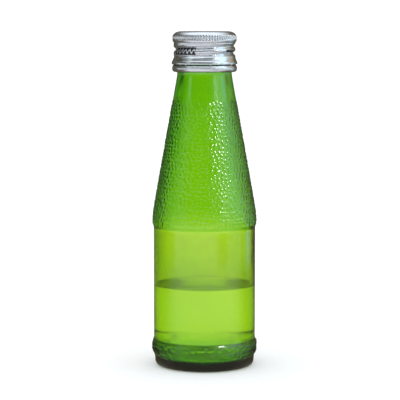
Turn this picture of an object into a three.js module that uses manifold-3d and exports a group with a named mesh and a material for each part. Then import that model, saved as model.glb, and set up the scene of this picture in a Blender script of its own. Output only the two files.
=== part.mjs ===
// A small glass soda bottle, part filled, with its rolled-on aluminium screw cap, the cap's liner
// and the tamper band that stays on the neck once the cap has been turned.
// Millimetres, +Z up. The bottle stands on z = 0 and its axis is the Z axis.
import * as THREE from 'three';
import { mergeVertices } from 'three/addons/utils/BufferGeometryUtils.js';
import Module from 'manifold-3d';

const wasm = await Module();
wasm.setup();

// Clearance between pieces that touch on the real object
const fitGap = 0.3;

// Glass body, upwards from the table
const ringRadius = 19.6;          // outer edge of the flat ring that the bottle stands on
const ringWidth = 2.8;
const pushUpHeight = 2.4;         // hollow under the base, at its middle
const pushUpCrown = 9;            // radius where the hollow's roof turns down
const footRadius = 22.2;
const footRound = 2.9;            // height of the rounded corner above the ring
const footHeight = 5.2;
const heelRadius = 23.2;          // raised band around the heel
const heelRound = 1.5;
const heelBandHeight = 6.2;       // foot to the ledge under the label panel
const ledge = 0.5;
const panelRadius = 22.65;        // recessed panel where a label would go
const panelHeight = 49.6;
const shoulderRadius = 23.1;
const shoulderLip = 3.4;          // height over which the panel swells to the shoulder
const shoulderCorner = 3.5;       // above the lip, to the corner that the round replaces
const shoulderRound = 7;          // above the corner, to where the straight cone starts
const coneHeight = 61.4;          // corner to neck
const neckRadius = 12.1;
const neckHeight = 2;             // straight stretch under the bead
const panelWall = 1.5;
const shoulderWall = 2.4;          // across the cone, measured level
const baseThickness = 3.4;
const innerCorner = 7;            // round between the inner wall and the floor
const boreRadius = 9.4;

// Finish: the bead, the thread and the lip that the cap goes on
const rootRadius = 12.15;         // outside of the finish between thread turns
const beadStand = 1.7;            // locking bead beyond the root
const beadHeight = 3.8;
const beadRamp = 1;               // height of the bead's sloping sides
const threadHeight = 1;           // how far the thread stands out
const threadWidth = 1.9;
const threadPitch = 3.18;
const threadTurns = 1.5;
const threadRunOut = 0.2;         // turns over which the thread fades at each end
const threadToLip = 2.6;          // top end of the thread's middle below the lip
const threadTopAngle = 60;        // degrees, where that end is, turned from +X
const finishHeight = 11.9;        // bead to lip
const lipRound = 0.7;

// Soda
const sodaLevel = 36;

// Cap, liner and band
const sheet = 0.25;
const grooveWidth = 2.5;
const grooveStart = 0.5;          // turns from the thread's top end to the groove's full depth
const grooveTurns = 0.8;          // turns at full depth
const grooveRunIn = 1;            // turns over which it deepens above those
const grooveRunOut = 0.5;         // turns over which it fades below them
const linerThickness = 0.8;
const linerInset = 0.5;           // liner's edge inside the finish's root
const capCornerRise = 2.75;       // height of the rounded top corner
const capCornerReach = 2.85;      // its reach inwards from the knurl
const knurlStand = 0.5;           // knurl above the skirt
const knurlDepth = 0.25;
const knurlTop = 2.2;             // below the cap's top
const knurlBand = 2.1;
const knurlRibs = 36;
const flareStand = 0.85;          // free edge of the skirt beyond the skirt
const flareHeight = 2;
const swellStand = 0.25;          // skirt swells by this above the flare
const capToBand = 0.7;            // open seam left by the broken bridges
const bridgeCount = 8;
const bridgeWidth = 1.1;
const bridgeStub = 0.2;           // what is left of a bridge on either side of the seam
const firstBridge = 10;           // degrees from the front, towards +X
const bandAboveBead = 2.25;       // the bead's foot to the band's upper edge
const bandHeight = 2.9;
const bandTuck = 1.6;             // how far the band's lower edge is rolled in

// Facets
const glassFacets = 48;
const capFacets = 2 * knurlRibs;
const rowStep = threadPitch / 5;  // height of a row of facets along the thread
const curveSteps = 4;

// Heights worked out from the sizes above
const heelTop = footHeight + heelBandHeight;
const panelBottom = heelTop + ledge;
const panelTop = panelBottom + panelHeight;
const shoulderTop = panelTop + shoulderLip;
const cornerHeight = shoulderTop + shoulderCorner;
const coneTop = cornerHeight + coneHeight;
const beadBottom = coneTop + neckHeight;
const beadTop = beadBottom + beadHeight;
const lipTop = beadTop + finishHeight;
const linerBottom = lipTop + fitGap;
const capRoof = linerBottom + linerThickness + fitGap;
const capTop = capRoof + sheet;
const beadRadius = rootRadius + beadStand;
const skirtRadius = rootRadius + threadHeight + fitGap + sheet;
const grooveDepth = threadHeight;
const knurlRadius = skirtRadius + knurlStand;
const bandRadius = beadRadius + fitGap + sheet;
const bandTop = beadBottom + bandAboveBead;
const capBottom = bandTop + capToBand;
const threadTop = lipTop - threadToLip;

const tau = 2 * Math.PI;

// Radius of the outer cone at a height, along the line from the shoulder's corner to the neck
function coneRadius(height) {
  const along = (height - cornerHeight) / coneHeight;
  return THREE.MathUtils.lerp(shoulderRadius, neckRadius, along);
}

// Smooth bump, 1 in the middle of a width and 0 at its edges
function bump(offset, width) {
  const along = Math.min(Math.abs(offset) / (width / 2), 1);
  return Math.cos(along * Math.PI / 2) ** 2;
}

// Share of a helical rib's full height at an angle and height. The helix passes through the thread's
// top end, lowered by drop. The rib is at full height from start turns below that end, for turns
// turns, and it fades over runIn turns above and runOut turns below.
function helixRib(angle, height, { drop, start, turns, runIn, runOut, width }) {
  const turned = (angle - THREE.MathUtils.degToRad(threadTopAngle)) / tau;
  const above = (height - threadTop + drop) / threadPitch - turned;
  const lap = Math.round(above);
  const below = -turned - lap;
  const entry = THREE.MathUtils.smoothstep(below, start - runIn, start);
  const exit = 1 - THREE.MathUtils.smoothstep(below, start + turns, start + turns + runOut);
  return bump((above - lap) * threadPitch, width) * entry * exit;
}

const glassThread = {
  drop: 0, start: 0, turns: threadTurns, runIn: threadRunOut, runOut: threadRunOut, width: threadWidth,
};

// The cap's groove lies half a pitch below the glass thread, so the two mesh
const rolledGroove = {
  drop: threadPitch / 2, start: grooveStart, turns: grooveTurns,
  runIn: grooveRunIn, runOut: grooveRunOut, width: grooveWidth,
};

// Row of points straight up or down at one radius, close enough together to carry the thread
function threadRows(outline, radius, from, to) {
  const rows = Math.ceil(Math.abs(to - from) / rowStep);
  for (let row = 1; row <= rows; row++) {
    outline.lineTo(radius, THREE.MathUtils.lerp(from, to, row / rows));
  }
}

// Turns an outline (radius, height) about Z. extraRadius(angle, height, index) moves points outwards.
function revolve(points, facets, extraRadius = () => 0) {
  const geometry = new THREE.LatheGeometry(points, facets);
  const place = geometry.getAttribute('position');
  for (let i = 0; i < place.count; i++) {
    const facet = Math.floor(i / points.length) % facets;
    const index = i % points.length;
    const { x: radius, y: height } = points[index];
    const turn = tau * facet / facets;
    const angle = turn - tau / 4;
    const grown = radius === 0 ? 0 : radius + extraRadius(angle, height, index, facet);
    place.setXYZ(i, grown * Math.sin(turn), height, grown * Math.cos(turn));
  }
  geometry.rotateX(Math.PI / 2);
  return geometry;
}

function solidOf(geometry) {
  const bare = geometry.clone();
  bare.deleteAttribute('normal');
  bare.deleteAttribute('uv');
  const merged = mergeVertices(bare, 1e-4);
  return new wasm.Manifold(new wasm.Mesh({
    numProp: 3,
    vertProperties: new Float32Array(merged.getAttribute('position').array),
    triVerts: new Uint32Array(merged.index.array),
  }));
}

function geometryOf(solid) {
  const mesh = solid.getMesh();
  const geometry = new THREE.BufferGeometry();
  geometry.setAttribute('position', new THREE.BufferAttribute(mesh.vertProperties, mesh.numProp));
  geometry.setIndex(new THREE.BufferAttribute(mesh.triVerts, 1));
  return geometry;
}

// Points of a sheet's other face, inside the given one by the sheet's thickness
function innerFace(points) {
  return points.map((point, i) => {
    const before = points[Math.max(i - 1, 0)];
    const after = points[Math.min(i + 1, points.length - 1)];
    const along = after.clone().sub(before).normalize();
    const inwards = new THREE.Vector2(along.y, -along.x);
    if (point.x === 0) return new THREE.Vector2(0, point.y - sheet);
    return point.clone().addScaledVector(inwards, sheet);
  });
}

// Glass: outside from the base to the lip, then down the bore to the floor
function glassOutside() {
  const outline = new THREE.Path();
  const ringInner = ringRadius - ringWidth;
  outline.moveTo(0, pushUpHeight);
  outline.quadraticCurveTo(pushUpCrown, pushUpHeight, ringInner, 0);
  outline.lineTo(ringRadius, 0);
  outline.quadraticCurveTo(footRadius, 0, footRadius, footRound);
  outline.lineTo(footRadius, footHeight);
  outline.quadraticCurveTo(heelRadius, footHeight, heelRadius, footHeight + heelRound);
  outline.lineTo(heelRadius, heelTop);
  outline.lineTo(panelRadius, panelBottom);
  outline.lineTo(panelRadius, panelTop);
  const swell = (panelRadius + shoulderRadius) / 2;
  outline.quadraticCurveTo(panelRadius, panelTop + shoulderLip / 2, swell, panelTop + shoulderLip / 2);
  outline.quadraticCurveTo(shoulderRadius, panelTop + shoulderLip / 2, shoulderRadius, shoulderTop);
  const coneStart = cornerHeight + shoulderRound;
  outline.quadraticCurveTo(shoulderRadius, cornerHeight, coneRadius(coneStart), coneStart);
  outline.lineTo(neckRadius, coneTop);
  outline.lineTo(neckRadius, beadBottom);
  outline.lineTo(beadRadius, beadBottom + beadRamp);
  outline.lineTo(beadRadius, beadTop - beadRamp);
  outline.lineTo(rootRadius, beadTop);
  threadRows(outline, rootRadius, beadTop, lipTop - lipRound);
  outline.quadraticCurveTo(rootRadius, lipTop, rootRadius - lipRound, lipTop);
  return outline.getPoints(curveSteps);
}

function glassInside() {
  const outline = new THREE.Path();
  const inner = panelRadius - panelWall;
  const floor = pushUpHeight + baseThickness;
  const boreEnd = coneTop - neckHeight;
  const coneEnd = cornerHeight + shoulderRound;
  outline.moveTo(boreRadius + lipRound, lipTop);
  outline.quadraticCurveTo(boreRadius, lipTop, boreRadius, lipTop - lipRound);
  outline.lineTo(boreRadius, boreEnd);
  outline.lineTo(coneRadius(boreEnd - innerCorner) - shoulderWall, boreEnd - innerCorner);
  outline.lineTo(coneRadius(coneEnd) - shoulderWall, coneEnd);
  outline.quadraticCurveTo(shoulderRadius - shoulderWall, cornerHeight, inner, panelTop);
  outline.lineTo(inner, floor + innerCorner);
  outline.quadraticCurveTo(inner, floor, inner - innerCorner, floor);
  outline.lineTo(0, floor);
  return outline.getPoints(curveSteps);
}

function glassBottle() {
  const outside = glassOutside();
  const points = [...outside, ...glassInside()];
  const threaded = (angle, height, index) => index < outside.length && height > beadTop
    ? threadHeight * helixRib(angle, height, glassThread) : 0;
  return revolve(points, glassFacets, threaded);
}

// Soda: fills the inside up to its level, short of the glass by the gap
function soda() {
  const outline = new THREE.Path();
  const radius = panelRadius - panelWall - fitGap;
  const floor = pushUpHeight + baseThickness + fitGap;
  outline.moveTo(0, floor);
  outline.lineTo(radius - innerCorner, floor);
  outline.quadraticCurveTo(radius, floor, radius, floor + innerCorner);
  outline.lineTo(radius, sodaLevel);
  outline.lineTo(0, sodaLevel);
  return revolve(outline.getPoints(curveSteps), glassFacets);
}

// Sheet stubs left by the torn bridges, all round a seam
function bridgeStubs(radius, from, to) {
  const skin = sheet / 8;
  const outer = radius - skin;
  const inner = radius - sheet + skin;
  const half = bridgeWidth / radius / 2;
  const stubs = [];
  for (let i = 0; i < bridgeCount; i++) {
    const middle = THREE.MathUtils.degToRad(firstBridge - 90) + tau * i / bridgeCount;
    const outline = new THREE.Shape();
    outline.absarc(0, 0, outer, middle - half, middle + half, false);
    outline.absarc(0, 0, inner, middle + half, middle - half, true);
    const options = { depth: to - from, bevelEnabled: false, curveSegments: 2 };
    const stub = new THREE.ExtrudeGeometry(outline, options);
    stub.translate(0, 0, from);
    stubs.push(solidOf(stub));
  }
  return wasm.Manifold.union(stubs);
}

// Cap: roof, knurled corner, skirt with the rolled groove, and the flared edge over the seam
function capOutside() {
  const outline = new THREE.Path();
  const knurlBottom = capTop - knurlTop - knurlBand;
  const flareTop = capBottom + flareHeight;
  const swellTop = flareTop + flareHeight / 2;
  outline.moveTo(0, capTop);
  outline.lineTo(knurlRadius - capCornerReach, capTop);
  const cornerX = knurlRadius - capCornerReach / 4;
  outline.quadraticCurveTo(cornerX, capTop - capCornerRise / 8, knurlRadius, capTop - knurlTop);
  outline.lineTo(knurlRadius, knurlBottom);
  outline.lineTo(skirtRadius, knurlBottom - knurlStand);
  threadRows(outline, skirtRadius, knurlBottom - knurlStand, swellTop);
  outline.lineTo(skirtRadius + swellStand, flareTop);
  const flare = skirtRadius + flareStand;
  outline.quadraticCurveTo(flare, capBottom + flareHeight / 2, flare, capBottom + sheet);
  outline.lineTo(flare, capBottom);
  return outline.getPoints(curveSteps);
}

function capShell() {
  const outside = capOutside();
  const inside = innerFace(outside).reverse();
  inside[0].y = capBottom;
  const section = [...outside, ...inside].reverse();
  const knurlFoot = capTop - knurlTop - knurlBand;
  // Both faces of the sheet are pressed in together, by the height on its outer face
  const pressed = (angle, height, index, facet) => {
    const outer = outside[Math.min(index, section.length - 1 - index)];
    const inKnurl = outer.y >= knurlFoot && outer.y <= capTop - knurlTop;
    if (inKnurl && facet % 2) return -knurlDepth;
    return outer.y < knurlFoot ? -grooveDepth * helixRib(angle, outer.y, rolledGroove) : 0;
  };
  const shell = revolve(section, capFacets, pressed);
  const stubs = bridgeStubs(skirtRadius + flareStand, capBottom - bridgeStub, capBottom + sheet / 2);
  return geometryOf(solidOf(shell).add(stubs));
}

// Liner: soft disc between the cap's roof and the lip
function capLiner() {
  const outline = new THREE.Path();
  const radius = rootRadius - linerInset;
  outline.moveTo(0, linerBottom);
  outline.lineTo(radius, linerBottom);
  outline.lineTo(radius, linerBottom + linerThickness);
  outline.lineTo(0, linerBottom + linerThickness);
  return revolve(outline.getPoints(), glassFacets);
}

// Tamper band: a rolled ring round the bead with its lower edge tucked under
function tamperBand() {
  const outline = new THREE.Path();
  const bottom = bandTop - bandHeight;
  outline.moveTo(bandRadius, bandTop);
  outline.lineTo(bandRadius, bottom + bandHeight / 2);
  outline.quadraticCurveTo(bandRadius, bottom, bandRadius - bandTuck, bottom);
  const outside = outline.getPoints(curveSteps);
  const section = [...outside, ...innerFace(outside).reverse(), outside[0]];
  const ring = revolve(section.reverse(), glassFacets);
  const stubs = bridgeStubs(bandRadius, bandTop - sheet, bandTop + bridgeStub);
  return geometryOf(solidOf(ring).add(stubs));
}

function piece(name, geometry, color, roughness, metalness) {
  const material = new THREE.MeshStandardMaterial({ color, roughness, metalness });
  const mesh = new THREE.Mesh(geometry, material);
  mesh.name = name;
  return mesh;
}

const group = new THREE.Group();
group.add(
  piece('glass_bottle', glassBottle(), 0x5fae12, 0.08, 0),
  piece('soda', soda(), 0xb9dc5a, 0.05, 0),
  piece('cap_shell', capShell(), 0xd5dae2, 0.35, 1),
  piece('cap_liner', capLiner(), 0xe9e7dd, 0.6, 0),
  piece('tamper_band', tamperBand(), 0xd5dae2, 0.35, 1),
);

export default group;
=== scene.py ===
# Looks of the green glass soda bottle: pebbled glass, the soda left in it, the rolled-on aluminium cap
# with its liner, and the tamper band that stays on the neck.
import math
import bpy
import numpy as np
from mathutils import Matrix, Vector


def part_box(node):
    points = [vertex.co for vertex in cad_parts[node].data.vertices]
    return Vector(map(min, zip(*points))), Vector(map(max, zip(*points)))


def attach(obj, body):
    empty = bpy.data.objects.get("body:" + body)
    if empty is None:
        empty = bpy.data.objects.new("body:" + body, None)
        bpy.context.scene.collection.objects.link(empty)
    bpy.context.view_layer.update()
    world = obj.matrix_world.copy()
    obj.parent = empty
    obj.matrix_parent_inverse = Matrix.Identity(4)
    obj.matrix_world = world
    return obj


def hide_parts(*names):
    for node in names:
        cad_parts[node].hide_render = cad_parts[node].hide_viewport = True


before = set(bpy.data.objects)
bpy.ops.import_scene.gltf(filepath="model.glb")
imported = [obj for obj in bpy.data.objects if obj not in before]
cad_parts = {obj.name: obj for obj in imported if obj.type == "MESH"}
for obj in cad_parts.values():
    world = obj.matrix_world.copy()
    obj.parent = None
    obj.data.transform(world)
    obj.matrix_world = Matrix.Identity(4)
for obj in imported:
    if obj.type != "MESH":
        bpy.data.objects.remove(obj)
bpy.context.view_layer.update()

mm = 0.001
tau = 2 * math.pi
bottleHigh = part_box("glass_bottle")[1]
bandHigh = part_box("tamper_band")[1]
linerLow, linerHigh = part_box("cap_liner")
lipTop = bottleHigh.z / mm
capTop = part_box("cap_shell")[1].z / mm
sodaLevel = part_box("soda")[1].z


# Outline of (radius, height) points in millimetres. Each leg is (step, end) for a straight stretch, or
# (step, corner, end) for a curve start*(1-t)^2 + corner*2t(1-t) + end*t^2 that rounds the corner off.
# A leg gets as many points as its length holds steps.
def outline(start, legs):
    points = np.array([start], float)
    for step, *knots in legs:
        first, end = points[-1], np.array(knots[-1], float)
        corner = np.array(knots[0], float) if len(knots) == 2 else (first + end) / 2
        length = np.linalg.norm(corner - first) + np.linalg.norm(end - corner)
        t = np.linspace(0, 1, max(1, round(length / step)) + 1)[1:, None]
        points = np.concatenate([points, first * (1 - t) ** 2 + corner * 2 * t * (1 - t) + end * t**2])
    return points


# Belt of a turned surface: column c of n stands at angle 2 pi c / n, row r at the outline's radius and
# height plus what shape(angle, height, radius) adds to each. Gives (rows, columns, 3) points in metres.
def belt(points, columns, shape=None):
    angle = (np.arange(columns) * tau / columns)[None, :]
    radius = points[:, :1] + 0 * angle
    height = points[:, 1:] + 0 * angle
    if shape:
        outwards, upwards = shape(angle + 0 * radius, height, radius)
        radius, height = radius + outwards, height + upwards
    return np.stack([radius * np.cos(angle), radius * np.sin(angle), height], -1) * mm


# Faces of one belt: each four neighbours make a quad, and the last column joins the first.
def beltFaces(index):
    right = np.roll(index, -1, 1)
    return np.stack([index[:-1], right[:-1], right[1:], index[1:]], -1).reshape(-1, 4)


# Triangles between two rings where one has a whole number of times the other's points. Every coarse
# point takes the fine edges nearest to it, and one triangle closes each coarse edge.
def seamFaces(low, high):
    flip = len(low) < len(high)
    coarse, fine = (low, high) if flip else (high, low)
    share = len(fine) // len(coarse)
    j = np.arange(len(fine))
    owner = coarse[(j // share + (j % share >= share / 2)) % len(coarse)]
    fans = np.stack([fine, np.roll(fine, -1), owner], -1)
    if len(coarse) > 1:
        middle = fine[np.arange(len(coarse)) * share + (share + 1) // 2]
        fans = np.concatenate([fans, np.stack([middle, np.roll(coarse, -1), coarse], -1)])
    return fans[:, ::-1] if flip else fans


# Closes a stack of belts into one mesh. A pole is a belt of one point. With ring set, the last belt
# joins the first one.
def skin(name, belts, ring=False, crease=None):
    starts = np.cumsum([0] + [b.shape[0] * b.shape[1] for b in belts])
    grids = [s + np.arange(b.shape[0] * b.shape[1]).reshape(b.shape[:2]) for s, b in zip(starts, belts)]
    quads = [beltFaces(g) for g in grids if g.shape[1] > 1]
    pairs = list(zip(grids, grids[1:])) + ([(grids[-1], grids[0])] if ring else [])
    fans = []
    for low, high in pairs:
        if low.shape[1] == high.shape[1]:
            quads.append(beltFaces(np.stack([low[-1], high[0]])))
        else:
            fans.append(seamFaces(low[-1], high[0]))
    points = np.concatenate([b.reshape(-1, 3) for b in belts])
    faces = np.concatenate(quads).tolist() + [f for fan in fans for f in fan.tolist()]
    mesh = bpy.data.meshes.new(name)
    mesh.from_pydata(points.tolist(), [], faces)
    mesh.validate()
    mesh.shade_smooth()
    if crease:
        mesh.set_sharp_from_angle(angle=math.radians(crease))
    piece = bpy.data.objects.new(name, mesh)
    bpy.context.scene.collection.objects.link(piece)
    print(name, len(mesh.polygons), "faces")
    return piece


def pole(height):
    return np.array([[[0, 0, height * mm]]])


# The other face of a sheet: each point of the outline moved by the thickness, square to the outline there
def otherFace(points, thickness):
    along = np.gradient(points, axis=0)
    along /= np.linalg.norm(along, axis=1, keepdims=True)
    return points + np.stack([along[:, 1], -along[:, 0]], -1) * thickness


# Smooth step from 0 at low to 1 at high: 3t^2 - 2t^3
def ease(value, low, high):
    t = np.clip((value - low) / (high - low), 0, 1)
    return t * t * (3 - 2 * t)


# Round-topped ridge: cos^2 across its width, 1 at the middle
def ridge(offset, width):
    return np.cos(np.clip(np.abs(offset) / (width / 2), 0, 1) * math.pi / 2) ** 2


# Share of a helical rib's height at each angle and height. The helix climbs one pitch a turn and passes
# topHeight at topAngle. The rib is whole from start turns below that end for turns turns, and it fades
# over runIn turns above and runOut turns below.
def helix(angle, height, rib):
    turned = (np.mod(angle - math.radians(rib["topAngle"]) + math.pi, tau) - math.pi) / tau
    above = (height - rib["topHeight"]) / rib["pitch"] - turned
    lap = np.round(above)
    below = -turned - lap
    entry = ease(below, rib["start"] - rib["runIn"], rib["start"])
    leave = 1 - ease(below, rib["start"] + rib["turns"], rib["start"] + rib["turns"] + rib["runOut"])
    return ridge((above - lap) * rib["pitch"], rib["width"]) * entry * leave


# Adds one shader node. An input is a plain value or another node's output.
def node(tree, kind, inputs=None, **options):
    made = tree.nodes.new("ShaderNode" + kind)
    for key, value in options.items():
        setattr(made, key, value)
    for key, value in (inputs or {}).items():
        if isinstance(value, bpy.types.NodeSocket):
            tree.links.new(value, made.inputs[key])
        else:
            made.inputs[key].default_value = value
    return made


def calc(tree, operation, a, b=0.0):
    return node(tree, "Math", {0: a, 1: b}, operation=operation).outputs[0]


# Value scaled from one range to another, held inside the second range
def remap(tree, value, fromMin, fromMax, toMin, toMax):
    made = node(tree, "MapRange", {"Value": value, "From Min": fromMin, "From Max": fromMax,
                                   "To Min": toMin, "To Max": toMax})
    return made.outputs["Result"]


def mixColor(tree, factor, a, b):
    made = node(tree, "Mix", {"Factor": factor}, data_type="RGBA")
    for socket, value in ((made.inputs[6], a), (made.inputs[7], b)):
        if isinstance(value, bpy.types.NodeSocket):
            tree.links.new(value, socket)
        else:
            socket.default_value = (*value, 1)
    return made.outputs[2]


def noise(tree, vector, scale, detail=3.0, roughness=0.5, distortion=0.0):
    made = node(tree, "TexNoise", {"Vector": vector, "Scale": scale, "Detail": detail,
                                   "Roughness": roughness, "Distortion": distortion})
    return made.outputs["Fac"]


def newMaterial(name):
    made = bpy.data.materials.new(name)
    made.use_nodes = True
    tree = made.node_tree
    shader = tree.nodes["Principled BSDF"]
    return made, tree, shader


def objectPoint(tree):
    return node(tree, "TexCoord").outputs["Object"]


# Place on a turned piece: angle from +X, distance from the axis, height
def turnedPoint(tree):
    x, y, z = node(tree, "SeparateXYZ", {0: objectPoint(tree)}).outputs
    angle = calc(tree, "ARCTAN2", y, x)
    level = node(tree, "CombineXYZ", {0: x, 1: y}).outputs[0]
    distance = node(tree, "VectorMath", {0: level}, operation="LENGTH").outputs["Value"]
    return angle, distance, z


view = {"place": (-0.002, -0.761, 0.1541), "down": 6.0, "lens": 154.2}
camera = bpy.data.objects.new("camera", bpy.data.cameras.new("camera"))
camera.data.lens = view["lens"]
camera.location = view["place"]
camera.rotation_euler = (math.radians(90 - view["down"]), 0, 0)
bpy.context.scene.collection.objects.link(camera)
bpy.context.scene.camera = camera
bpy.context.scene.view_settings.view_transform = "Standard"

# The studio. Seen straight, all round the bottle is the backdrop's white. Through the glass it is white on
# the table and straight behind, and a dim room for a stretch to either side of that. Reflections see the
# room and its panels, given by degrees from the camera's side towards +X and degrees above level, with
# side edges as soft as blur, in radians, and upper and lower edges as soft as panelBlur. A pair of
# numbers is where one tone starts to give way to the next and where it is gone.
studio = {
    "backdrop": 1.18,
    "whiteTo": 12, "dimFrom": 50, "dimTo": 60, "whiteFrom": 80,   # degrees off straight behind
    "dimLeft": (0.14, 0.24, 0.04), "dimRight": (0.75, 0.50, 0.30), "dimBlend": (-0.3, 0.3),
    "front": (0.05, 0.055, 0.04), "behind": (0.10, 0.09, 0.06), "above": (1.1, 1.2, 1.3),
    "frontBlend": (0.1, 0.7), "aboveBlend": (0.58, 0.85), "skyBlend": (0.04, 0.12), "panelBlur": 0.012,
    "paint": (0.9, 0.9, 0.9, 1), "floorGlow": 0.12, "floorSide": 8.0,
    # painted shadow on the floor: under the base as seen through the glass, and close to the bottle in
    # reflections
    "shade": (0.40, 0.52, 0.28), "shadeBlend": (0.022, 0.036), "whiteTable": (0.20, 0.30),
    "paintedContactShadow": (0.34, 0.31, 0.25), "paintedShadowBlend": (0.04, 0.16),
    "table": (0.9, 0.9, 0.96), "tableBack": (0.12, 0.10, 0.06), "backBlend": (-0.5, 0.1),
    "tableEdge": (0.31, 0.37), "roomEdge": (1.0, 1.5),            # metres from the bottle's axis
    "farBlend": (0.3, 0.45),
    "dip": 8,                                # degrees below level at which the floor mirrors the room
}
panels = {
    "window": {"blur": 0.03, "from": 37, "to": 68, "low": 4, "high": 50, "color": (0.85, 0.95, 1.0)},
    "brightPane": {"blur": 0.04, "from": 68, "to": 93, "low": 4, "high": 50, "color": (1.1, 1.5, 1.8)},
    "farWall": {"blur": 0.1, "from": 95, "to": 128, "low": -30, "high": 50, "color": (0.5, 0.42, 0.30)},
    "leftPane": {"blur": 0.04, "from": -67, "to": -55, "low": 9, "high": 40, "color": (0.9, 1.0, 0.95)},
    "lowFront": {"blur": 0.1, "from": -70, "to": 28, "low": -30, "high": 3, "color": (0.8, 0.83, 0.9)},
    "lowSide": {"blur": 0.03, "from": 51, "to": 89, "low": -30, "high": 3, "color": (0.5, 0.56, 0.6)},
    "slimPane": {"blur": 0.03, "from": 108, "to": 119, "low": -30, "high": 3, "color": (0.15, 0.8, 1.3)},
    "horizon": {"blur": 0.15, "from": -112, "to": 112, "low": -2, "high": 4, "color": (0.78, 0.81, 0.86)},
    "bulb": {"blur": 0.01, "from": 45, "to": 50, "low": 18.4, "high": 24, "color": (14.0, 14.5, 14.0)},
}
lamp = {"turn": 43, "up": 33, "away": 0.5, "side": 0.09, "glow": 30.0, "aim": 0.08}


# 1 between two values, with edges as soft as blur
def between(tree, value, low, high, blur):
    up = remap(tree, value, low - blur, low + blur, 0, 1)
    down = remap(tree, value, high - blur, high + blur, 1, 0)
    return calc(tree, "MULTIPLY", up, down)


# What stands round the bottle in a direction: the colour that reflections see, and the one that shows
# through the glass
def surroundings(tree, x, y, z):
    turn = calc(tree, "ARCTAN2", x, calc(tree, "MULTIPLY", y, -1.0))
    room = mixColor(tree, remap(tree, y, *studio["frontBlend"], 0, 1), studio["front"], studio["behind"])
    room = mixColor(tree, remap(tree, z, *studio["aboveBlend"], 0, 1), room, studio["above"])
    for panel in panels.values():
        wide = between(tree, turn, math.radians(panel["from"]), math.radians(panel["to"]), panel["blur"])
        low, high = math.sin(math.radians(panel["low"])), math.sin(math.radians(panel["high"]))
        shown = calc(tree, "MULTIPLY", wide, between(tree, z, low, high, studio["panelBlur"]))
        room = mixColor(tree, shown, room, panel["color"])
    aside = calc(tree, "ABSOLUTE", calc(tree, "ARCTAN2", x, y))
    white = remap(tree, aside, math.radians(studio["whiteTo"]), math.radians(studio["dimFrom"]), 1, 0)
    again = remap(tree, aside, math.radians(studio["dimTo"]), math.radians(studio["whiteFrom"]), 0, 1)
    sky = remap(tree, z, *studio["skyBlend"], 0, 1)
    white = calc(tree, "MAXIMUM", calc(tree, "MAXIMUM", white, again), sky)
    dim = mixColor(tree, remap(tree, x, *studio["dimBlend"], 0, 1), studio["dimLeft"], studio["dimRight"])
    return room, mixColor(tree, white, dim, [studio["backdrop"]] * 3)


def makeWorld():
    world = bpy.data.worlds.new("studio")
    bpy.context.scene.world = world
    world.use_nodes = True
    tree = world.node_tree
    direction = node(tree, "TexCoord").outputs["Generated"]
    x, y, z = node(tree, "SeparateXYZ", {0: direction}).outputs
    mirrored, through = surroundings(tree, x, y, z)
    rays = node(tree, "LightPath").outputs
    straight = calc(tree, "MAXIMUM", rays["Is Camera Ray"], rays["Is Diffuse Ray"])
    color = mixColor(tree, rays["Is Transmission Ray"], mirrored, through)
    color = mixColor(tree, straight, color, [studio["backdrop"]] * 3)
    tree.links.new(color, tree.nodes["Background"].inputs["Color"])


# Square lamp high on the right, which only the glass's own reflections see
def makeLamp(piece):
    light = bpy.data.lights.new("lamp", "AREA")
    light.size = lamp["side"]
    light.energy = lamp["glow"] * math.pi * lamp["side"] ** 2
    stand = bpy.data.objects.new("lamp", light)
    turn, up = math.radians(lamp["turn"]), math.radians(lamp["up"])
    level = lamp["away"] * math.cos(up)
    height = lamp["aim"] + lamp["away"] * math.sin(up)
    stand.location = (level * math.sin(turn), -level * math.cos(turn), height)
    stand.rotation_euler = (math.pi / 2 - up, 0, turn)
    stand.visible_camera = stand.visible_diffuse = stand.visible_transmission = False
    lit = bpy.data.collections.new("lit_by_lamp")
    lit.objects.link(piece)
    stand.light_linking.receiver_collection = lit
    bpy.context.scene.collection.objects.link(stand)


makeWorld()
print("camera and studio placed")
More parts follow.
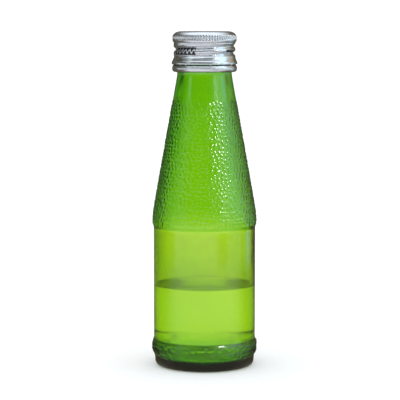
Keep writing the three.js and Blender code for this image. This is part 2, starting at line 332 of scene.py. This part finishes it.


# Pale floor. Seen straight it is a white table top, with the soft shadow that the bottle really casts on
# it.
# In reflections it shows painted colours: a painted shadow close to the bottle, a dimmer far side, and
# past the table's edge the room begins. Through the glass it shows painted shade under the base, then
# white, and further off the room.
def makeFloor():
    corners = np.array([[-1, -1, 0], [1, -1, 0], [1, 1, 0], [-1, 1, 0]]) * studio["floorSide"]
    mesh = bpy.data.meshes.new("floor")
    mesh.from_pydata(corners.tolist(), [], [(0, 1, 2, 3)])
    floor = bpy.data.objects.new("floor", mesh)
    bpy.context.scene.collection.objects.link(floor)
    made, tree, shader = newMaterial("pale_floor")
    shader.inputs["Base Color"].default_value = studio["paint"]
    shader.inputs["Roughness"].default_value = 1.0
    shader.inputs["Specular IOR Level"].default_value = 0.0
    place = node(tree, "SeparateXYZ", {0: objectPoint(tree)}).outputs
    away = node(tree, "VectorMath", {0: objectPoint(tree)}, operation="LENGTH").outputs["Value"]
    x, y = (calc(tree, "DIVIDE", place[axis], away) for axis in (0, 1))
    below = math.sin(math.radians(-studio["dip"]))
    mirrored, through = surroundings(tree, x, y, calc(tree, "ADD", place[2], below))
    # Painted shadow: in reflections the table darkens towards the bottle
    pastPaintedShadow = remap(tree, away, *studio["paintedShadowBlend"], 0, 1)
    table = mixColor(tree, pastPaintedShadow, studio["paintedContactShadow"], studio["table"])
    table = mixColor(tree, remap(tree, y, *studio["backBlend"], 0, 1), table, studio["tableBack"])
    mirrored = mixColor(tree, remap(tree, away, *studio["tableEdge"], 0, 1), table, mirrored)
    far = remap(tree, away, *studio["roomEdge"], 0, 1)
    far = calc(tree, "MULTIPLY", far, remap(tree, y, *studio["farBlend"], 1, 0))
    mirrored = mixColor(tree, far, mirrored, panels["horizon"]["color"])
    # Painted shade: through the glass the table is darker under the base
    bright = remap(tree, away, *studio["shadeBlend"], 0, 1)
    near = mixColor(tree, bright, studio["shade"], [studio["backdrop"]] * 3)
    through = mixColor(tree, remap(tree, away, *studio["whiteTable"], 0, 1), near, through)
    glow = node(tree, "Emission", {"Color": (1, 1, 1, 1), "Strength": studio["floorGlow"]}).outputs[0]
    lit = node(tree, "AddShader", {0: shader.outputs[0], 1: glow}).outputs[0]
    mirrored = node(tree, "Emission", {"Color": mirrored}).outputs[0]
    through = node(tree, "Emission", {"Color": through}).outputs[0]
    rays = node(tree, "LightPath").outputs
    both = node(tree, "MixShader", {0: rays["Is Glossy Ray"], 1: lit, 2: mirrored}).outputs[0]
    both = node(tree, "MixShader", {0: rays["Is Transmission Ray"], 1: both, 2: through}).outputs[0]
    tree.links.new(both, tree.nodes["Material Output"].inputs["Surface"])
    mesh.materials.append(made)


makeFloor()


glass = {
    "fine": 360, "plain": 180, "coarse": 90,      # columns of the pebbled, smooth and inner belts
    "edgeStep": 0.2, "lipStep": 0.3, "beadStep": 0.35, "pebbleStep": 0.36, "heelStep": 0.4,
    "threadStep": 0.45, "roundStep": 0.5, "bendStep": 1.2, "plainStep": 1.5, "smoothStep": 3.0,
    "ringInner": 16.8, "ringOuter": 19.6, "pushUp": 2.4, "crown": 9.0,
    "foot": 22.2, "footRound": 2.9, "footTop": 4.6,
    "heel": bottleHigh.x / mm, "heelFull": 6.8, "heelTop": 11.2,
    "panel": 22.65, "panelLow": 12.3, "panelHigh": 60.9,
    "swellLow": 62.4, "swellMiddle": 63.0, "swellHigh": 63.4, "swellTop": 65.0,
    "shoulder": 23.1, "corner": 68.4, "coneStart": 75.4,
    "neck": 12.1, "coneTop": 129.8, "smoothNeck": 121.0,
    "beadLow": 131.8, "beadHigh": 135.6, "bead": 13.85, "root": 12.15, "lipRound": 0.8,
    "panelWall": 1.25, "shoulderWall": 2.4, "neckWall": 2.8, "bore": 9.4, "innerShoulder": 61.5,
    "innerHeel": 12.0, "floorEdge": 3.6, "floorRing": 13.0, "floorCrown": 5.6,
    # waves of the inner wall: depth, number round, phase, and height over which the phase climbs by 1
    "waves": ((0.13, 2, 1.3, 31), (0.07, 3, 0, -19), (0.035, 7, 0, 11)),
}
thread = {
    "topHeight": 144.9, "topAngle": 60, "pitch": 3.18, "start": 0, "turns": 1.5,
    "runIn": 0.2, "runOut": 0.2, "width": 1.9, "height": 1.0,
}
pebbles = {
    "rows": 200, "perRow": 128, "rowShare": 0.84, "push": 0.23, "tall": (0.72, 1.12),
    "shoulder": {"pitch": 1.95, "reach": 0.92, "height": 0.27, "seed": 11,
                 "fadeIn": (62.6, 64.6), "fadeOut": (116.5, 120.5)},
    "heel": {"pitch": 2.35, "reach": 1.1, "height": 0.58, "seed": 23,
             "fadeIn": (3.6, 6.0), "fadeOut": (10.9, 11.7), "stripe": (1.2, 2.0)},
}
mouldSeam = -119        # degrees from +X, front left


# Outside radius of the cone, along the straight line from the shoulder's corner to the neck
def coneRadius(height):
    along = (height - glass["corner"]) / (glass["coneTop"] - glass["corner"])
    return glass["shoulder"] + (glass["neck"] - glass["shoulder"]) * along


# Pebbles in staggered rows, rowShare of the pitch apart. A row has as many as its girth holds at the
# pitch, each is pushed off its place by up to push times the pitch, and its dome is
# (1 - d^2/reach^2)^2 at distance d.
def pebbleDomes(angle, height, girthRadius, kind):
    rng = np.random.default_rng(kind["seed"])
    rowHeight = kind["pitch"] * pebbles["rowShare"]
    grid = (pebbles["rows"], pebbles["perRow"])
    push = rng.uniform(-1, 1, (*grid, 2)) * kind["pitch"] * pebbles["push"]
    tall = rng.uniform(*pebbles["tall"], grid)
    stagger = rng.uniform(0, 1, pebbles["rows"])
    domes = np.zeros_like(angle)
    for rowStep in (-1, 0, 1):
        row = (np.round(height / rowHeight) + rowStep).astype(int)
        count = np.round(tau * girthRadius(row * rowHeight) / kind["pitch"]).astype(int)
        turns = angle / tau * count - stagger[row]
        for sideStep in (-1, 0, 1):
            column = np.round(turns).astype(int) + sideStep
            wrapped = column % count
            arc = (turns - column) / count * tau * girthRadius(height) - push[row, wrapped, 0]
            rise = height - row * rowHeight - push[row, wrapped, 1]
            far = np.clip((arc**2 + rise**2) / kind["reach"] ** 2, 0, 1)
            domes = np.maximum(domes, (1 - far) ** 2 * tall[row, wrapped])
    return domes * kind["height"]


# Pebbles on the shoulder and cone: they fade in over the shoulder's swell and out below the neck
def shoulderShape(angle, height, radius):
    girth = lambda z: np.where(z < glass["corner"], glass["shoulder"], coneRadius(z))
    kind = pebbles["shoulder"]
    strength = ease(height, *kind["fadeIn"]) * (1 - ease(height, *kind["fadeOut"]))
    return pebbleDomes(angle, height, girth, kind) * strength, 0


# Pebbles on the heel: they leave a smooth stripe at each mould seam
def heelShape(angle, height, radius):
    girth = lambda z: glass["heel"] + 0 * z
    kind = pebbles["heel"]
    seam = np.abs(np.mod(angle - math.radians(mouldSeam) + math.pi / 2, math.pi) - math.pi / 2)
    stripe = ease(seam * glass["heel"], *kind["stripe"])
    strength = ease(height, *kind["fadeIn"]) * (1 - ease(height, *kind["fadeOut"])) * stripe
    return pebbleDomes(angle, height, girth, kind) * strength, 0


# Thread: the helical rib stands out by its height, and nothing stands out below the bead's upper edge
def threadShape(angle, height, radius):
    on = ease(height, glass["beadHigh"], glass["beadHigh"] + 0.5)
    return helix(angle, height, thread) * thread["height"] * on, 0


# Blown inside: the sum of depth * sin(number * angle + phase + height / length) over the waves, and none
# at the lip or at the floor's middle
def innerShape(angle, height, radius):
    wave = 0
    for depth, number, phase, length in glass["waves"]:
        wave = wave + depth * np.sin(number * angle + phase + height / length)
    strength = ease(radius, 6, 15) * (1 - ease(height, 105, 128))
    return wave * strength, 0


# Inside outline, from the lip down the bore, cone and panel to the floor's middle
def glassInner():
    g = glass
    inner = g["panel"] - g["panelWall"]
    boreEnd = g["coneTop"] - 2
    return outline((g["bore"] + g["lipRound"], lipTop), [
        (g["lipStep"], (g["bore"], lipTop), (g["bore"], lipTop - g["lipRound"])),
        (g["smoothStep"], (g["bore"], boreEnd + 4)),
        (g["bendStep"], (g["bore"], boreEnd), (coneRadius(boreEnd - 7) - g["neckWall"], boreEnd - 7)),
        (g["smoothStep"], (coneRadius(g["coneStart"]) - g["shoulderWall"], g["coneStart"])),
        (g["bendStep"], (g["shoulder"] - g["shoulderWall"], g["corner"]), (inner, g["innerShoulder"])),
        (g["smoothStep"], (inner, g["innerHeel"])),
        (g["bendStep"] / 2, (inner - 0.6, g["floorEdge"]), (g["floorRing"], g["floorEdge"])),
        (g["bendStep"], (g["floorRing"] / 2, g["floorEdge"]), (0.8, g["floorCrown"])),
    ])


def makeGlass():
    g = glass
    base = outline((0.8, g["pushUp"]), [
        (g["plainStep"], (g["crown"], g["pushUp"]), (g["ringInner"], 0.25)),
        (g["lipStep"], (g["ringInner"] + 0.2, 0), (g["ringInner"] + 0.7, 0)),
        (1.0, (g["ringOuter"], 0)),
        (g["roundStep"], (g["foot"], 0), (g["foot"], g["footRound"])),
    ])
    ledge = (g["heel"] + g["panel"]) / 2
    heel = outline((g["foot"], g["footRound"] + 0.3), [
        (g["heelStep"], (g["foot"] + 0.1, g["footTop"])),
        (g["heelStep"], (g["foot"] + 0.2, g["footTop"] + 1), (g["heel"] - 0.1, g["heelFull"])),
        (g["heelStep"], (g["heel"] - 0.1, g["heelTop"] - 0.4)),
        (g["edgeStep"], (g["heel"] - 0.12, g["heelTop"] + 0.2), (ledge, g["heelTop"] + 0.55)),
        (g["edgeStep"], (g["panel"], g["heelTop"] + 0.9), (g["panel"], g["panelLow"] + 0.3)),
    ])
    panel = outline((g["panel"], g["panelLow"] + 2), [
        (g["smoothStep"] * 2, (g["panel"], g["panelHigh"])),
    ])
    swell = (g["panel"] + g["shoulder"]) / 2
    shoulder = outline((g["panel"], g["panelHigh"] + 0.6), [
        (g["pebbleStep"], (g["panel"], g["swellLow"]), (swell, g["swellMiddle"])),
        (g["pebbleStep"], (g["shoulder"], g["swellHigh"]), (g["shoulder"], g["swellTop"])),
        (g["pebbleStep"], (g["shoulder"], g["corner"]), (coneRadius(g["coneStart"]), g["coneStart"])),
        (g["pebbleStep"], (coneRadius(g["smoothNeck"]), g["smoothNeck"])),
    ])
    finish = outline((coneRadius(g["smoothNeck"] + 0.5), g["smoothNeck"] + 0.5), [
        (g["plainStep"], (g["neck"] + 0.2, g["coneTop"] - 1)),
        (g["roundStep"], (g["neck"], g["coneTop"]), (g["neck"], g["coneTop"] + 1)),
        (g["roundStep"], (g["neck"], g["beadLow"])),
        (g["beadStep"], (g["bead"] - 0.3, g["beadLow"]), (g["bead"], g["beadLow"] + 1)),
        (g["roundStep"], (g["bead"], g["beadHigh"] - 1)),
        (g["beadStep"], (g["bead"] - 0.3, g["beadHigh"]), (g["root"], g["beadHigh"] + 0.1)),
        (g["threadStep"], (g["root"], lipTop - g["lipRound"])),
        (g["lipStep"], (g["root"], lipTop), (g["root"] - g["lipRound"], lipTop)),
    ])
    inner = glassInner()
    belts = [
        pole(g["pushUp"]),
        belt(base, g["coarse"]),
        belt(heel, g["fine"], heelShape),
        belt(panel, g["fine"]),
        belt(shoulder, g["fine"], shoulderShape),
        belt(finish, g["plain"], threadShape),
        belt(inner, g["coarse"], innerShape),
        pole(g["floorCrown"]),
    ]
    return skin("bottle_glass", belts)


glassLooks = {
    "rough": (0.08, 0.16), "clean": (0.985, 0.99, 0.98), "greasy": (0.95, 0.965, 0.94),
    "insideTo": 0.0216, "outsideFrom": 0.0221,  # within the panel's wall, metres from the axis
    # painted shade on the inside of the panel above the drink: where it ends, and its tones high and low
    "paintedShadeTop": 0.0612, "paintedShadeBlend": (0.038, 0.056), "paintedShadeEdge": 0.0008,
    "paintedShadeHigh": ((0.80, 0.78, 0.76), (0.92, 0.90, 0.88)),
    "paintedShadeLow": ((0.62, 0.66, 0.60), (0.70, 0.74, 0.68)),
    "soak": (0.785, 0.914, 0.02, 1), "density": 1680.0, "coat": 0.6, "coatRough": 0.2,
}


# Green glass: one clear shader whose volume soaks up nearly all blue and some red. Handling leaves faint
# greasy smears in its roughness, and the surface rolls gently. The inside of the panel above the drink has
# painted shade in its colour, mottled like dried drink and darkest towards the drink.
def greenGlass():
    g = glassLooks
    made, tree, shader = newMaterial("green_glass")
    point = objectPoint(tree)
    smear = noise(tree, point, 55.0, 5.0, 0.62, 0.4)
    speck = noise(tree, point, 900.0, 2.0)
    dirt = calc(tree, "ADD", smear, calc(tree, "MULTIPLY", speck, 0.12))
    tree.links.new(remap(tree, dirt, 0.45, 0.85, *g["rough"]), shader.inputs["Roughness"])
    tint = mixColor(tree, smear, g["clean"], g["greasy"])
    _, distance, z = turnedPoint(tree)
    # Painted shade: on the inner face of the panel above the drink the colour is darkened, mottled, most
    # near the drink
    inside = remap(tree, distance, g["insideTo"], g["outsideFrom"], 1, 0)
    zone = between(tree, z, sodaLevel + g["paintedShadeEdge"], g["paintedShadeTop"], g["paintedShadeEdge"])
    shadeMottle = remap(tree, noise(tree, point, 70.0, 3.0, 0.5, 1.2), 0.35, 0.65, 0.0, 1.0)
    high = mixColor(tree, shadeMottle, *g["paintedShadeHigh"])
    low = mixColor(tree, shadeMottle, *g["paintedShadeLow"])
    paintedShade = mixColor(tree, remap(tree, z, *g["paintedShadeBlend"], 0, 1), low, high)
    tint = mixColor(tree, calc(tree, "MULTIPLY", inside, zone), tint, paintedShade)
    tree.links.new(tint, shader.inputs["Base Color"])
    roll = noise(tree, point, 160.0, 2.0, 0.4)
    bump = node(tree, "Bump", {"Strength": 0.35, "Distance": 0.00012, "Height": roll})
    tree.links.new(bump.outputs[0], shader.inputs["Normal"])
    shader.inputs["Transmission Weight"].default_value = 1.0
    shader.inputs["IOR"].default_value = 1.5
    shader.inputs["Coat Weight"].default_value = g["coat"]
    shader.inputs["Coat Roughness"].default_value = g["coatRough"]
    soak = node(tree, "VolumeAbsorption", {"Color": g["soak"], "Density": g["density"]})
    tree.links.new(soak.outputs[0], tree.nodes["Material Output"].inputs["Volume"])
    return made


bottle = makeGlass()
bottle.data.materials.append(greenGlass())
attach(bottle, "bottle")
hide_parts("glass_bottle")
makeLamp(bottle)
print("glass made")


sodaFill = {
    "level": sodaLevel / mm, "columns": glass["coarse"],
    "bite": 0.05,                        # runs this far into the glass, so no air shows between them
    "climb": 0.6, "reach": 0.8,          # meniscus: height at the wall, and how fast it falls away
    "rings": (0.15, 0.35, 0.65, 1.05, 1.6, 2.3, 3.3, 4.8, 7.5, 12.0, 17.0),   # in from the wall
    "pastPaintedShadow": (1.0, 1.0, 1.0), "frothy": (0.97, 0.98, 0.94), "frothRough": (0.08, 0.18),
    "soak": (0.9, 0.93, 0.6, 1), "density": 4.0,
}


# Soda: the inner wall's own outline up to the level, grown by the bite, then the surface
# level + climb * exp(-(distance from the wall) / reach).
def makeSoda():
    s = sodaFill
    wallTop = s["level"] + s["climb"]
    wall = glassInner()[::-1]
    wall = wall[(wall[:, 1] < s["level"] - 1) & (wall[:, 0] > 1.0)]
    edge = wall[-1, 0]
    side = outline((edge, s["level"] - 0.5), [(0.5, (edge, wallTop))])
    wall = np.concatenate([wall, side])

    def grown(angle, height, radius):
        outwards, upwards = innerShape(angle, height, radius)
        return outwards + s["bite"], upwards - s["bite"] * (height < glass["innerHeel"])

    radii = edge - np.array(s["rings"])
    top = np.stack([radii, s["level"] + s["climb"] * np.exp(-(edge - radii) / s["reach"])], -1)
    belts = [
        pole(glass["floorCrown"] - s["bite"]),
        belt(wall, s["columns"], grown),
        belt(top, s["columns"], lambda a, h, r: (innerShape(a, h, r)[0] * ease(r, 14, edge), 0)),
        pole(s["level"]),
    ]
    return skin("soda_fill", belts)


# Soda: clear and very slightly straw coloured, with stray specks of froth that dull its surface
def sodaLiquid():
    made, tree, shader = newMaterial("soda")
    point = objectPoint(tree)
    z = node(tree, "SeparateXYZ", {0: point}).outputs[2]
    froth = noise(tree, point, 700.0, 3.0)
    near = remap(tree, z, (sodaFill["level"] - 0.4) * mm, (sodaFill["level"] - 0.1) * mm, 0, 1)
    rough = calc(tree, "MULTIPLY", near, remap(tree, froth, 0.3, 0.7, *sodaFill["frothRough"]))
    tree.links.new(rough, shader.inputs["Roughness"])
    tint = mixColor(tree, froth, sodaFill["pastPaintedShadow"], sodaFill["frothy"])
    tree.links.new(tint, shader.inputs["Base Color"])
    bump = node(tree, "Bump", {"Strength": 0.15, "Distance": 0.00005, "Height": froth})
    tree.links.new(bump.outputs[0], shader.inputs["Normal"])
    shader.inputs["Transmission Weight"].default_value = 1.0
    shader.inputs["IOR"].default_value = 1.333
    soak = node(tree, "VolumeAbsorption", {"Color": sodaFill["soak"], "Density": sodaFill["density"]})
    tree.links.new(soak.outputs[0], tree.nodes["Material Output"].inputs["Volume"])
    return made


soda = makeSoda()
soda.data.materials.append(sodaLiquid())
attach(soda, "bottle")
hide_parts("soda")
print("soda made")


cap = {
    "columns": 576, "ribs": 72, "sheet": 0.25,
    "roof": 11.2, "knurl": 14.2, "knurlDepth": 0.34, "knurlLow": 145.3, "knurlHigh": 147.3,
    "skirt": 13.7, "skirtLow": 137.8, "swell": 136.9, "waist": 136.2,
    "flare": 14.55, "flareHigh": 135.2, "bottom": 134.75, "pole": 0.6,
    "step": 0.35, "bendStep": 0.3,
}
bridges = {"count": 8, "first": -80, "width": 1.1, "blur": 0.12, "stub": 0.2}   # between cap and band
groove = {
    "topHeight": thread["topHeight"] - thread["pitch"] / 2, "topAngle": 60, "pitch": thread["pitch"],
    "start": 0.5, "turns": 0.8, "runIn": 1.0, "runOut": 0.5, "width": 2.5, "height": 1.0,
}


# 1 on the stubs of the torn bridges, 0 between them, by the distance along the ring from the nearest one
def bridgeShare(angle, radius):
    spacing = tau / bridges["count"]
    first = math.radians(bridges["first"])
    away = np.abs(np.mod(angle - first + spacing / 2, spacing) - spacing / 2) * radius
    return 1 - ease(away, bridges["width"] / 2 - bridges["blur"], bridges["width"] / 2 + bridges["blur"])


# Cap sheet: narrow flutes are cut into the knurl by ((1 - cos)/2)^2 of the rib angle, the groove is rolled
# in along the helix, and the free edge hangs lower at each bridge's stub and is ragged, by the product of
# two sines of the angle.
def capShape(angle, height, radius):
    c = cap
    inKnurl = ease(height, c["knurlLow"], c["knurlLow"] + 0.4)
    inKnurl = inKnurl * (1 - ease(height, c["knurlHigh"] - 0.3, c["knurlHigh"] + 0.3)) * (radius > 13)
    flute = ((1 - np.cos(angle * c["ribs"])) / 2) ** 2 * c["knurlDepth"] * inKnurl
    press = helix(angle, height, groove) * groove["height"] * (height < c["knurlLow"])
    edge = 1 - ease(height, c["bottom"], c["bottom"] + 0.3)
    drop = edge * bridgeShare(angle, c["flare"]) * bridges["stub"]
    ragged = edge * 0.03 * np.sin(23 * angle) * np.sin(41 * angle + 1)
    return -flute - press, ragged - drop


def makeCap():
    c = cap
    bend = c["bendStep"]
    outer = outline((c["pole"], capTop), [
        (1.5, (c["roof"] - 0.6, capTop)),
        (0.4, (c["knurl"] - 0.75, capTop - 0.1), (c["knurl"], capTop - 2.2)),
        (bend, (c["knurl"], c["knurlLow"])),
        (bend, (c["knurl"], c["knurlLow"] - 0.8), (c["skirt"], c["knurlLow"] - 1.1)),
        (c["step"], (c["skirt"], c["skirtLow"])),
        (bend, (c["skirt"], c["skirtLow"] - 0.5), (c["skirt"] + 0.25, c["swell"])),
        (bend, (c["skirt"] + 0.3, c["swell"] - 0.3), (c["skirt"] + 0.5, c["waist"])),
        (bend, (c["flare"], c["waist"] - 0.4), (c["flare"], c["flareHigh"])),
        (0.2, (c["flare"], c["bottom"])),
    ])
    inner = otherFace(outer, c["sheet"])[::-1]
    inner[0, 1] = c["bottom"]
    inner[:, 0] = np.maximum(inner[:, 0], c["pole"])
    inside = lambda a, h, r: capShape(a, h, r + c["sheet"])
    belts = [
        pole(capTop - c["sheet"]),
        belt(inner[::-1], c["columns"], inside),
        belt(outer[::-1], c["columns"], capShape),
        pole(capTop),
    ]
    return skin("cap_skin", belts, crease=50)


sheetLooks = {
    "bright": (0.90, 0.92, 0.95), "dull": (0.76, 0.78, 0.81), "scratch": (0.95, 0.96, 0.97),
    "print": (0.012, 0.013, 0.018), "rough": (0.22, 0.34), "streakRough": (-0.04, 0.05),
}


# Aluminium sheet: streaks drawn round the piece, duller and darker patches, fine scratches that run
# across it, and a print where there is one
def aluminium(name, mark=None):
    made, tree, shader = newMaterial(name)
    angle, _, z = turnedPoint(tree)
    drawn = node(tree, "Mapping", {"Vector": objectPoint(tree), "Scale": (0.25, 0.25, 1)}).outputs[0]
    streak = noise(tree, drawn, 2600.0, 4.0, 0.6)
    patch = noise(tree, objectPoint(tree), 190.0, 4.0, 0.55, 0.6)
    across = node(tree, "Mapping", {"Vector": objectPoint(tree), "Rotation": (0.4, 0.9, 0.2),
                                    "Scale": (1, 9, 1)}).outputs[0]
    marks = remap(tree, noise(tree, across, 420.0, 2.0, 0.5, 0.3), 0.66, 0.74, 0, 1)
    color = mixColor(tree, patch, sheetLooks["bright"], sheetLooks["dull"])
    color = mixColor(tree, calc(tree, "MULTIPLY", marks, 0.35), color, sheetLooks["scratch"])
    rough = remap(tree, patch, 0.3, 0.7, *sheetLooks["rough"])
    rough = calc(tree, "ADD", rough, remap(tree, streak, 0.3, 0.7, *sheetLooks["streakRough"]))
    rough = calc(tree, "ADD", rough, calc(tree, "MULTIPLY", marks, 0.12))
    if mark:
        printed = mark(tree, angle, z)
        color = mixColor(tree, printed, color, sheetLooks["print"])
        tree.links.new(calc(tree, "SUBTRACT", 1.0, printed), shader.inputs["Metallic"])
    else:
        shader.inputs["Metallic"].default_value = 1.0
    tree.links.new(color, shader.inputs["Base Color"])
    tree.links.new(rough, shader.inputs["Roughness"])
    height = calc(tree, "ADD", calc(tree, "MULTIPLY", streak, 0.5), calc(tree, "MULTIPLY", marks, -0.6))
    bump = node(tree, "Bump", {"Strength": 0.25, "Distance": 0.00003, "Height": height})
    tree.links.new(bump.outputs[0], shader.inputs["Normal"])
    return made


ink = {                                  # degrees from +X, millimetres
    "patch": {"from": -160, "to": -107, "low": 138.8, "high": 142.2, "teeth": 6, "line": 0.30},
    "arrow": {"from": -46, "to": -22, "low": 139.7, "high": 141.5, "head": 9, "shaft": 0.55},
}


# Plain marks printed on the skirt. The patch is dark but for a zigzag line, which is
# low + (high - low) * (0.25 + 0.5 * triangle wave of the angle). The arrow is a straight shaft and a head
# that narrows to its tip, and it points the way that the cap opens.
def capInk(tree, angle, z):
    p, a = ink["patch"], ink["arrow"]
    fade = 0.01
    patch = between(tree, angle, math.radians(p["from"]), math.radians(p["to"]), fade)
    patch = calc(tree, "MULTIPLY", patch, between(tree, z, p["low"] * mm, p["high"] * mm, 0.00015))
    tooth = math.radians(p["to"] - p["from"]) / p["teeth"] / 2
    wave = calc(tree, "DIVIDE", calc(tree, "PINGPONG", angle, tooth), tooth)
    tall = (p["high"] - p["low"]) * mm
    line = remap(tree, wave, 0, 1, p["low"] * mm + tall * 0.25, p["low"] * mm + tall * 0.75)
    off = calc(tree, "ABSOLUTE", calc(tree, "SUBTRACT", z, line))
    patch = calc(tree, "MULTIPLY", patch, remap(tree, off, p["line"] * mm, p["line"] * 1.6 * mm, 0, 1))
    middle = (a["low"] + a["high"]) / 2 * mm
    off = calc(tree, "ABSOLUTE", calc(tree, "SUBTRACT", z, middle))
    neckAngle = math.radians(a["to"] - a["head"])
    shaft = between(tree, angle, math.radians(a["from"]), neckAngle, fade)
    shaft = calc(tree, "MULTIPLY", shaft, calc(tree, "LESS_THAN", off, a["shaft"] * mm))
    width = remap(tree, angle, neckAngle, math.radians(a["to"]), (a["high"] - a["low"]) / 2 * mm, 0)
    head = between(tree, angle, neckAngle, math.radians(a["to"]), 0.004)
    head = calc(tree, "MULTIPLY", head, calc(tree, "LESS_THAN", off, width))
    return calc(tree, "MAXIMUM", patch, calc(tree, "MAXIMUM", shaft, head))


capSkin = makeCap()
capSkin.data.materials.append(aluminium("cap_aluminium", capInk))
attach(capSkin, "cap")
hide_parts("cap_shell")
print("cap made")


liner = {
    "columns": 120, "radius": linerHigh.x / mm, "low": linerLow.z / mm, "high": linerHigh.z / mm,
    "dentInner": 9.9, "dentOuter": 11.0, "dent": 0.12,
}


# Liner: a disc with a round edge, dented where it sits on the lip
def makeLiner():
    low, high, radius = liner["low"], liner["high"], liner["radius"]
    half = (high - low) / 2
    section = outline((0.6, low), [
        (1.5, (8.6, low)),
        (0.3, (9.6, low), (liner["dentInner"], low + liner["dent"])),
        (0.4, (liner["dentOuter"], low + liner["dent"])),
        (0.3, (11.2, low), (11.35, low)),
        (0.15, (radius, low), (radius, low + half)),
        (0.15, (radius, high), (radius - 0.3, high)),
        (1.5, (0.6, high)),
    ])
    return skin("liner_disc", [pole(low), belt(section, liner["columns"]), pole(high)])


# Liner foam: off-white, with fine cells and faint stains
def linerFoam():
    made, tree, shader = newMaterial("liner_foam")
    point = objectPoint(tree)
    cells = node(tree, "TexVoronoi", {"Vector": point, "Scale": 2600.0}).outputs["Distance"]
    stain = noise(tree, point, 130.0, 4.0)
    color = mixColor(tree, remap(tree, stain, 0.45, 0.7, 0, 1), (0.86, 0.85, 0.80), (0.74, 0.70, 0.58))
    color = mixColor(tree, remap(tree, cells, 0.0, 0.5, 0.25, 0), color, (0.6, 0.58, 0.5))
    tree.links.new(color, shader.inputs["Base Color"])
    tree.links.new(remap(tree, stain, 0.3, 0.7, 0.5, 0.7), shader.inputs["Roughness"])
    bump = node(tree, "Bump", {"Strength": 0.4, "Distance": 0.00008, "Height": cells})
    tree.links.new(bump.outputs[0], shader.inputs["Normal"])
    return made


linerDisc = makeLiner()
linerDisc.data.materials.append(linerFoam())
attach(linerDisc, "liner")
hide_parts("cap_liner")
print("liner made")


band = {
    "columns": 288, "radius": bandHigh.x / mm, "top": 134.05, "low": 131.15,
    "tuck": 1.6, "sheet": 0.25, "lean": 0.35,
}


# Band: upright wall whose upper edge leans in and whose lower edge is rolled in under the bead. Its upper
# edge stands higher at each bridge's stub and is a little ragged, by a sine of the angle, and the whole
# ring is out of round by the sum of two sines.
def bandShape(angle, height, radius):
    edge = ease(height, band["top"] - 0.3, band["top"])
    lift = edge * bridgeShare(angle, band["radius"]) * bridges["stub"]
    dent = 0.03 * np.sin(3 * angle + 1) + 0.02 * np.sin(8 * angle)
    return dent, lift + edge * 0.02 * np.sin(31 * angle)


def makeBand():
    b = band
    outer = outline((b["radius"] - b["lean"], b["top"]), [
        (0.2, (b["radius"], b["top"] - 0.7)),
        (0.2, (b["radius"], b["low"] + 1.5)),
        (0.2, (b["radius"], b["low"] + 0.1), (b["radius"] - b["tuck"], b["low"])),
    ])
    inner = otherFace(outer, b["sheet"])[::-1]
    inner[-1, 1] = b["top"]
    section = np.concatenate([inner[::-1], outer[::-1]])
    return skin("band_ring", [belt(section, b["columns"], bandShape)], ring=True, crease=50)


bandRing = makeBand()
bandRing.data.materials.append(aluminium("band_aluminium"))
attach(bandRing, "band")
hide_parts("tamper_band")
print("band made")
